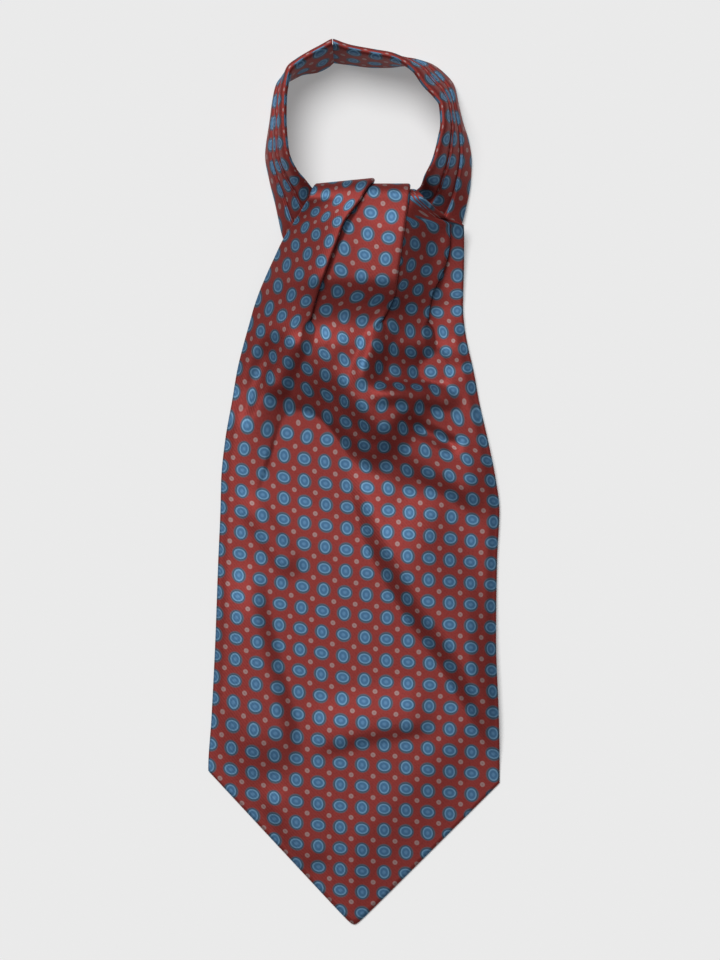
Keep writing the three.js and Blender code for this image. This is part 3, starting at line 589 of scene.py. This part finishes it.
# How the print lies on the blade: lean of its columns, in degrees, at shares of the width.
PRINT_LEAN_SHARES = (0, 0.3, 0.57, 0.8, 1)
PRINT_LEAN = [
    (152, 28, 26, 9, 16, 5),
    (110, 29, 24, 9, 15, -3),
    (84, 22, 22, 12, 3, -14),
    (52, 13, 20, 13, -3, -15),
    (25, 11, 10, 9, 8, -2),
    (-10, 13, 9, 6, 5, 5),
    (-60, 12, 9, 6, 5, 3),
    (-110, 9, 11, 5, 5, 5),
    (-150, 10, 8, 3, 6, 4),
    (-240, 9, 7, 4, 5, 5),
]
PRINT_STRAIGHT_SHARE = 0.57
PRINT_RELIEF_FADE = 25
FIELD_Y = np.linspace(ROLL_Y, -244.7, 200)
FIELD_SHARE = np.linspace(0, 1, 81)
WITHIN_LAST_CELL = 1.001


def from_left(steps):
    return np.concatenate([np.zeros((len(steps), 1)), np.cumsum(steps, axis=1)], axis=1)


def print_fields():
    """Places across and down the flat cloth, over a regular net on the blade."""
    y = FIELD_Y[:, None]
    left, right = blade["left"](y), blade["right"](y)
    x = mix(left, right, FIELD_SHARE[None])
    z = blade_height(x, np.broadcast_to(y, x.shape))
    run = np.hypot(np.diff(x, axis=1), np.diff(z, axis=1))
    across = from_left(run)
    across *= CLOTH_WIDTH / across[:, -1:]
    columns = range(1, 1 + len(PRINT_LEAN_SHARES))
    table = [curve([(row[0], row[i]) for row in PRINT_LEAN])(FIELD_Y) for i in columns]
    lean = np.array([np.interp(FIELD_SHARE, PRINT_LEAN_SHARES, row) for row in np.transpose(table)])
    tilt = from_left(np.sin(np.radians((lean[:, 1:] + lean[:, :-1]) / 2)) * run)
    crease = (blade["pleat_b"](y) - left) / (right - left)
    middle = mix(crease, PRINT_STRAIGHT_SHARE, ease(0, 1, openness(y)))
    tilt -= np.array([[np.interp(m, FIELD_SHARE, row)] for m, row in zip(middle[:, 0], tilt)])
    step = FIELD_Y[0] - FIELD_Y[1]
    excess = np.hypot(step, np.diff(z, axis=0)) - step
    shared = excess.mean(axis=1, keepdims=True)
    relief = np.zeros_like(z)
    for r in range(1, len(relief)):
        relief[r] = relief[r - 1] * math.exp(-step / PRINT_RELIEF_FADE) + excess[r - 1] - shared[r - 1]
    down = np.concatenate([[[0]], np.cumsum(step + shared, axis=0)])
    return across, tilt - relief - down


def at_places(field, x, y):
    """Value of a field at points of the blade."""
    left, right = blade["left"](y), blade["right"](y)
    columns, net_rows = len(FIELD_SHARE) - WITHIN_LAST_CELL, len(FIELD_Y) - WITHIN_LAST_CELL
    column = np.clip((x - left) / (right - left), 0, 1) * columns
    row = np.clip((FIELD_Y[0] - y) / (FIELD_Y[0] - FIELD_Y[-1]), 0, 1) * net_rows
    c, r = column.astype(int), row.astype(int)
    top = mix(field[r, c], field[r, c + 1], column - c)
    return mix(top, mix(field[r + 1, c], field[r + 1, c + 1], column - c), row - r)


def cloth_places(grid, carrier_z, opened):
    """Where each point of the blade lies on its own flat cloth, across and down."""
    spread, print_down = print_fields()
    x, y = grid[:, :, 0], grid[:, :, 1]
    fixed = mix(cloth_across[None], at_places(spread, x, y), opened[:, None])
    steps = np.diff(x, axis=1)
    run = from_left(np.sign(steps) * np.hypot(steps, np.diff(carrier_z, axis=1)))
    true = fixed.copy()
    first_a = PANEL_STEPS[0]
    first_b = first_a + PLEAT_SIZE + PANEL_STEPS[1]
    first_c = first_b + PLEAT_SIZE + PANEL_STEPS[2]
    for start, held in (
        (first_a + PLEAT_SIZE - 1, first_b),
        (first_b + PLEAT_SIZE - 1, first_c),
        (first_c + PLEAT_SIZE - 1, grid.shape[1] - 1),
    ):
        panel = slice(start, held + 1)
        true[:, panel] = fixed[:, held : held + 1] + run[:, panel] - run[:, held : held + 1]
    for start in (first_a, first_b, first_c):
        stop = start + PLEAT_SIZE - 1
        within = np.linspace(0, 1, PLEAT_SIZE)
        true[:, start : stop + 1] = mix(true[:, start : start + 1], true[:, stop : stop + 1], within)
    over_roll = np.zeros(len(grid))
    over_roll[: ROLL_ROWS + 1] = np.pi * ROLL_RADIUS * np.linspace(1, 0, ROLL_ROWS + 1)
    down = at_places(print_down, x, np.minimum(y, ROLL_Y)) + over_roll[:, None]
    return np.stack([mix(true, fixed, opened[:, None]), down], axis=2)


opened_rows = ease(0, 1, openness(blade_grid[:, 0, 1]))
blade_cloth = cloth_places(blade_grid, np.array(carriers), opened_rows)
half_wall = grid_normals(blade_grid) * WALL / 2
front = close_grids("front_blade_silk", blade_grid + half_wall, blade_grid - half_wall, blade_cloth, silk)
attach(front, "root")
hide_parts("front_blade")


# Neckband: the same silk folded lengthwise into three overlapping pleats, two arms
# that stand on edge as a ring and are seamed at the centre back. Each arm twists once,
# so the outer side shows below and the inner side behind the neck.
# Stations along each arm: its upper edge and its lower edge, x, y and z.
BAND_LEFT = [
    (-17.1, 153.3, 14.4, -34.9, 128.5, 2.7),
    (-21.5, 157.2, 17.2, -38.7, 132.6, 2.4),
    (-27.1, 163.0, 23.5, -42.9, 151.5, 0.5),
    (-31.9, 168.1, 28.0, -46.1, 165.7, 0.5),
    (-36.1, 177.5, 31.0, -48.1, 178.8, 0.5),
    (-37.8, 195.9, 32.5, -45.3, 197.7, 0.5),
    (-37.7, 205.8, 32.8, -43.7, 208.4, 0.5),
    (-36.8, 213.8, 33.0, -41.3, 217.3, 0.5),
    (-34.9, 221.5, 33.0, -34.6, 221.5, 0.5),
    (-30.2, 225.9, 32.5, -28.5, 224.2, 0.5),
    (-23.9, 230.1, 32.0, -21.2, 225.2, 0.5),
    (-17.6, 233.5, 32.0, -15.6, 227.6, 0.5),
    (-12.0, 236.6, 32.0, -12.0, 230.6, 0.5),
]
BAND_RIGHT = [
    (-11.6, 236.6, 32.0, -11.6, 230.6, 0.5),
    (-3.4, 233.5, 32.0, -4.2, 229.8, 0.5),
    (10.8, 230.6, 32.5, 10.4, 228.2, 0.5),
    (20.0, 228.7, 33.0, 19.7, 228.4, 0.5),
    (27.0, 225.1, 33.0, 30.7, 230.0, 0.5),
    (32.1, 220.9, 32.5, 40.9, 228.3, 0.5),
    (37.4, 213.3, 32.0, 49.2, 222.9, 0.5),
    (43.4, 207.0, 32.0, 54.2, 216.2, 0.5),
    (46.6, 202.2, 32.0, 56.2, 206.2, 0.5),
    (47.2, 193.1, 32.0, 59.1, 195.2, 0.5),
    (45.4, 183.5, 31.0, 62.0, 187.0, 0.5),
    (42.0, 171.9, 29.5, 63.8, 175.0, 0.5),
    (38.2, 164.8, 25.0, 63.4, 163.5, 0.5),
    (36.0, 160.2, 14.5, 61.4, 151.5, 1.6),
    (31.3, 157.2, 8.8, 58.7, 140.5, 2.3),
    (27.0, 153.4, 6.4, 56.1, 135.9, 2.7),
]
# Outer and inner side of the pleated band, from its lower edge: share of the width, height.
BAND_OUTER = [
    (0.0, 0.0), (0.0, 0.7), (0.03, 1.5), (0.1, 2.1), (0.2, 2.5), (0.29, 2.7), (0.325, 2.5), (0.335, 2.0),
    (0.325, 1.3), (0.35, 1.1), (0.4, 1.7), (0.5, 2.3), (0.6, 2.7), (0.64, 2.5), (0.65, 2.0), (0.64, 1.3),
    (0.67, 1.1), (0.73, 1.7), (0.82, 2.2), (0.92, 2.3), (0.98, 1.6), (1.0, 0.7),
]
BAND_INNER = [
    (1.0, 0.0), (1.0, -0.7), (0.97, -1.5), (0.9, -2.0), (0.7, -2.3),
    (0.5, -2.4), (0.3, -2.3), (0.1, -1.9), (0.03, -1.4), (0.0, -0.7),
]
BAND_WIDTH = 34.0
BAND_PLEATS = (0.33, 0.645)
PLEAT_HIDES, PRINT_TAKE_UP = 4.3, 0.8
STEPS_PER_SPAN, STEPS_PER_CORNER, RING_STEPS = 10, 12, 96


def smooth_ring(points, count):
    """Closed outline through the points, rounded, at even steps of its own length."""
    ring = np.array(points) * (BAND_WIDTH, 1.0)
    padded = np.concatenate([ring[-2:], ring, ring[:3]])
    t = np.linspace(0, 1, STEPS_PER_CORNER, endpoint=False)[:, None]
    fine = []
    for i in range(1, len(ring) + 1):
        p0, p1, p2, p3 = padded[i : i + 4]
        bend = 2 * p0 - 5 * p1 + 4 * p2 - p3
        turn = 3 * p1 - p0 - 3 * p2 + p3
        fine.append(0.5 * (2 * p1 + (p2 - p0) * t + bend * t**2 + turn * t**3))
    fine = np.concatenate(fine)
    closed = np.concatenate([fine, fine[:1]])
    length = np.concatenate([[0], np.cumsum(np.linalg.norm(np.diff(closed, axis=0), axis=1))])
    at = np.linspace(0, length[-1], count, endpoint=False)
    return np.stack([np.interp(at, length, closed[:, k]) for k in (0, 1)], axis=1) / (BAND_WIDTH, 1.0), at


def band_arm(name, stations):
    """One arm of the neckband and the length of its path."""
    table = np.array(stations)
    places = np.arange(len(table))
    fine = np.linspace(0, len(table) - 1, (len(table) - 1) * STEPS_PER_SPAN + 1)
    values = np.stack([curve(list(zip(places, column)))(fine) for column in table.T], axis=1)
    top, low = values[:, :3], values[:, 3:]
    middle = (top + low) / 2
    steps = unit(np.diff(middle, axis=0))
    along = unit(np.concatenate([steps[:1], steps]) + np.concatenate([steps, steps[-1:]]))
    seam = 0 if table[0, 1] > table[-1, 1] else len(fine) - 1
    along[seam] = (1, 0, 0)
    up = top - low
    out = unit(np.cross(up, along))
    ring, around = smooth_ring(BAND_OUTER + BAND_INNER, RING_STEPS)
    grid = low[:, None] + up[:, None] * ring[None, :, :1] + out[:, None] * ring[None, :, 1:]
    grid[:, :, 2] = np.maximum(grid[:, :, 2], TABLE_Z)

    count_r, count_c = grid.shape[:2]
    near, far = count_r * count_c, count_r * count_c + 1
    index = np.arange(near).reshape(count_r, count_c)
    following = np.roll(index, -1, axis=1)
    sides = np.stack([index[:-1], following[:-1], following[1:], index[1:]], axis=2).reshape(-1, 4)
    near_cap = [(following[0, k], index[0, k], near, near) for k in range(count_c)]
    far_cap = [(index[-1, k], following[-1, k], far, far) for k in range(count_c)]
    points = np.concatenate([grid.reshape(-1, 3), [grid[0].mean(axis=0), grid[-1].mean(axis=0)]])

    run = np.concatenate([[0], np.cumsum(np.linalg.norm(np.diff(middle, axis=0), axis=1))])
    pleat = np.searchsorted(BAND_PLEATS, ring[:, 0]) * np.where(ring[:, 1] > 0, 1, 0)
    across = around * PRINT_TAKE_UP + pleat * PLEAT_HIDES
    cloth = np.stack(np.broadcast_arrays(across[None], run[:, None]), axis=2)
    cloth = np.concatenate([cloth.reshape(-1, 2), [cloth[0].mean(axis=0), cloth[-1].mean(axis=0)]])
    made = cloth_mesh(name, points, np.concatenate([sides, near_cap, far_cap]), cloth, silk)
    return made, run[-1]


left_arm, left_length = band_arm("neckband_left_silk", BAND_LEFT)
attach(left_arm, "root")
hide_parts("neckband_left")
right_arm, right_length = band_arm("neckband_right_silk", BAND_RIGHT)
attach(right_arm, "root")
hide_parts("neckband_right")


# Crossing layers under the throat: both arms end here, folded over each other, and the
# front blade passes over them. They show only as a dark gap beside the pleats, and their silk is painted a
# darker red as shade.
WRAP_COLUMNS = "y left right top".split()
WRAP_SECTIONS = [
    (84.3, -44, 33, 2.6),
    (88, -46.5, 32, 5.0),
    (95, -47, 32, 11.5),
    (104, -45, 34.5, 30),
    (118, -40, 40.5, 30),
    (128, -34.2, 43.2, 30),
    (134, -30.3, 43.8, 30),
    (142, -24.6, 42.6, 30),
    (150, -18.6, 29.8, 30),
    (153, -14.6, 23, 30),
    (159.6, -8, 17, 30),
]
WRAP_CLEAR, WRAP_SIDE = 0.6, 1.6
WRAP_ROWS, WRAP_STEPS = 76, 41
WRAP_ROLLS_Y = 150.8
LEAST_SWELL = 0.2
SIDE_HEIGHT, SIDE_ROUND = 0.25, 2.6
FOLD_HANGS = 14
NEARBY = (-2, 0, 2)


def lower_fold(x, y):
    """How far the layers of the right pleats hang below the blade's own height."""
    return np.where(x > blade["pleat_b"](y) - FOLD_HANGS, 2 * LAYER, 0) * (1 - settling(y))


def blade_under(x, y):
    """Underside of the lowest cloth within reach of a place of the crossing layers."""
    near = []
    for dx in NEARBY:
        for dy in NEARBY:
            py = np.minimum(y + dy, ROLL_Y)
            near.append(blade_height(x + dx, py) - lower_fold(x + dx, py))
    return np.min(near, axis=0) - WALL / 2


wrap = curves(WRAP_COLUMNS, WRAP_SECTIONS)
wrap_share = np.linspace(0, 1, WRAP_STEPS)
wrap_side = np.minimum(1, SIDE_HEIGHT + SIDE_ROUND * np.sin(np.pi * wrap_share))
wrap_upper, wrap_lower = [], []
for y in np.linspace(WRAP_SECTIONS[0][0], WRAP_SECTIONS[-1][0], WRAP_ROWS):
    ys = np.full_like(wrap_share, y)
    x = mix(wrap["left"](y), wrap["right"](y), 0.5 - 0.5 * np.cos(np.pi * wrap_share))
    nose = ROLL_RADIUS - lower_fold(x, ys) - WALL / 2 - WRAP_CLEAR
    in_nose = np.sqrt(np.maximum(LEAST_SWELL, nose**2 - max(0, y - ROLL_Y) ** 2))
    ceiling = ROLL_AXIS_Z + in_nose if y > ROLL_Y else blade_under(x, ys) - WRAP_CLEAR
    if y > WRAP_ROLLS_Y:
        middle_z, bottom = ROLL_AXIS_Z, ROLL_AXIS_Z - in_nose
        low = mix(middle_z - WRAP_SIDE, bottom, wrap_side)
    else:
        middle_z, bottom = 0.0, np.full_like(x, TABLE_Z)
        low = bottom
    top = np.maximum(bottom + WRAP_SIDE, np.minimum(ceiling, wrap["top"](y)))
    high = mix(np.maximum(middle_z, bottom) + WRAP_SIDE, top, wrap_side)
    wrap_upper.append(np.stack([x, ys, high], axis=1))
    wrap_lower.append(np.stack([x, ys, low], axis=1))
wrap_upper, wrap_lower = np.array(wrap_upper), np.array(wrap_lower)
layers = close_grids("crossing_layers_silk", wrap_upper, wrap_lower, wrap_upper[:, :, :2], silk_painted_shade)
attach(layers, "root")
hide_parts("crossing_wrap")


# Back blade: the same cloth doubled and pressed flat, shorter than the front blade and
# hidden beneath it, its edges pressed thinner than its middle.
BACK_THICK, BACK_EDGE_SHARE = 2.0, 0.75
BACK_TOP_Y, BACK_SLANT_Y = 84, -60
BACK_ROWS, BACK_SLANT_ROWS, BACK_STEPS = 41, 24, 41
from_middle = np.linspace(-1, 1, BACK_STEPS)
slant = mix(BACK_POINT_Y, BACK_CORNER_Y, np.abs(from_middle))
back_rows = [np.full(BACK_STEPS, y) for y in np.linspace(BACK_TOP_Y, BACK_SLANT_Y, BACK_ROWS)]
back_rows += [mix(BACK_SLANT_Y, slant, r) for r in np.linspace(0, 1, BACK_SLANT_ROWS + 1)[1:]]
back_y = np.array(back_rows)
left, right = blade["left"](back_y), blade["right"](back_y)
reach = np.minimum(back_half, (right - left) / 2 - BACK_INSET)
back_x = (left + right) / 2 + reach * from_middle
back_z = np.full_like(back_x, BACK_THICK)
back_z[[0, -1]] = back_z[:, [0, -1]] = BACK_THICK * BACK_EDGE_SHARE
back_upper = np.stack([back_x, back_y, back_z], axis=2)
back_lower = np.stack([back_x, back_y, np.full_like(back_x, TABLE_Z)], axis=2)
# Its red is painted darker, as shade under the front blade.
back = close_grids("back_blade_silk", back_upper, back_lower, back_upper[:, :, :2], silk_painted_shade)
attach(back, "root")
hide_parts("under_blade")


# Table top: a plain matt white board, painted, that the cravat is laid out on. It
# glows a little of itself, as a board does that is lit from all sides, so that the
# shadows on it stay pale.
BOARD_HALF = 12
board = bpy.data.materials.new("matt white board")
board.use_nodes = True
tree = board.node_tree
tree.nodes.clear()
paint = {
    "Base Color": linear("#C6C6C6"),
    "Roughness": 0.9,
    "Specular IOR Level": 0.1,
    "Emission Color": linear("#FFFFFF"),
    "Emission Strength": 0.24,
}
face = node(tree, "ShaderNodeBsdfPrincipled", paint)
node(tree, "ShaderNodeOutputMaterial", {"Surface": face})
corners = [(x * BOARD_HALF, y * BOARD_HALF, 0) for x, y in ((-1, -1), (1, -1), (1, 1), (-1, 1))]
table_mesh = bpy.data.meshes.new("table top")
table_mesh.from_pydata(corners, [], [(0, 1, 2, 3)])
table_mesh.materials.append(board)
table_top = bpy.data.objects.new("table top", table_mesh)
bpy.context.scene.collection.objects.link(table_top)
table_top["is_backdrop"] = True


# Light and camera: a large window high up at the head end and a little to the left, in
# a room that throws little light back, and a long lens straight above the table.
SUN_FROM = Vector((-0.5, 0.87, 1.75))
SUN_POWER, SUN_WIDTH, ROOM_LIGHT = 3.3, 36, 0.12
LENS, SENSOR = 102.3, 36.0
CAMERA_AT = (0.0031, 0.0029, 1.5)
room = bpy.data.worlds.new("dim white room")
room.use_nodes = True
room_light = room.node_tree.nodes["Background"]
room_light.inputs["Color"].default_value = linear("#FFFFFF")
room_light.inputs["Strength"].default_value = ROOM_LIGHT
bpy.context.scene.world = room

window = bpy.data.lights.new("window at the head end", "SUN")
window.energy = SUN_POWER
window.angle = math.radians(SUN_WIDTH)
window_light = bpy.data.objects.new("window at the head end", window)
window_light.location = SUN_FROM
window_light.rotation_euler = (-SUN_FROM).to_track_quat("-Z", "Y").to_euler()
bpy.context.scene.collection.objects.link(window_light)

lens = bpy.data.cameras.new("camera")
lens.sensor_width = SENSOR
lens.lens = LENS
camera = bpy.data.objects.new("camera", lens)
camera.location = CAMERA_AT
camera.rotation_euler = (0, 0, 0)
bpy.context.scene.collection.objects.link(camera)
bpy.context.scene.camera = camera
bpy.context.scene.view_settings.view_transform = "Standard"

low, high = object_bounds()
